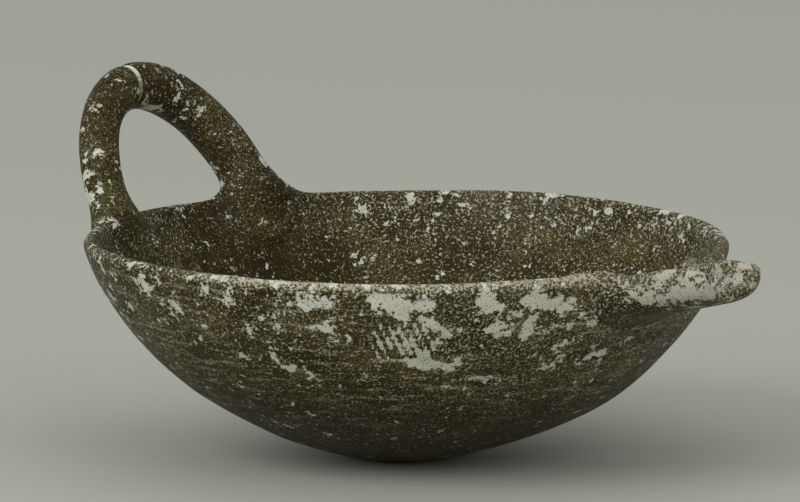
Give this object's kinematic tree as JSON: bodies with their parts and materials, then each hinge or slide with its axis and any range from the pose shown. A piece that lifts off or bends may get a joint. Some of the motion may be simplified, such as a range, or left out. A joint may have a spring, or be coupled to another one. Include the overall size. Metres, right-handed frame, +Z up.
{
  "type": "hand-built clay bowl",
  "caption": "Round-bottomed hand-built clay bowl with a high loop handle leaning out from the rim and an open trough spout opposite.",
  "frame": {"origin": "on the flat resting face, where the axis of the bowl's rim meets it", "axes": "+Z up along the axis of the rim, +X towards the spout, -X towards the handle, +Y towards the handle's far limb"},
  "size_m": [0.2872, 0.2258, 0.1273],
  "materials": {
    "dark_slip": "burnished dark slip, worn and speckled",
    "worn_slip": "slip rubbed through to pale clay along edges",
    "handle_slip": "burnished dark slip, speckled",
    "filler": "matt pale filler in an old break"
  },
  "bodies": {
    "root": {"base_shell": "dark_slip", "wall_shell": "dark_slip", "rim_coil": "worn_slip", "spout_trough": "worn_slip", "spout_fillet": "dark_slip", "handle_near_limb": "handle_slip", "handle_far_limb": "handle_slip", "handle_mend_fill": "filler", "near_root_collar": "handle_slip", "far_root_collar": "handle_slip"}
  },
  "joints": []
}
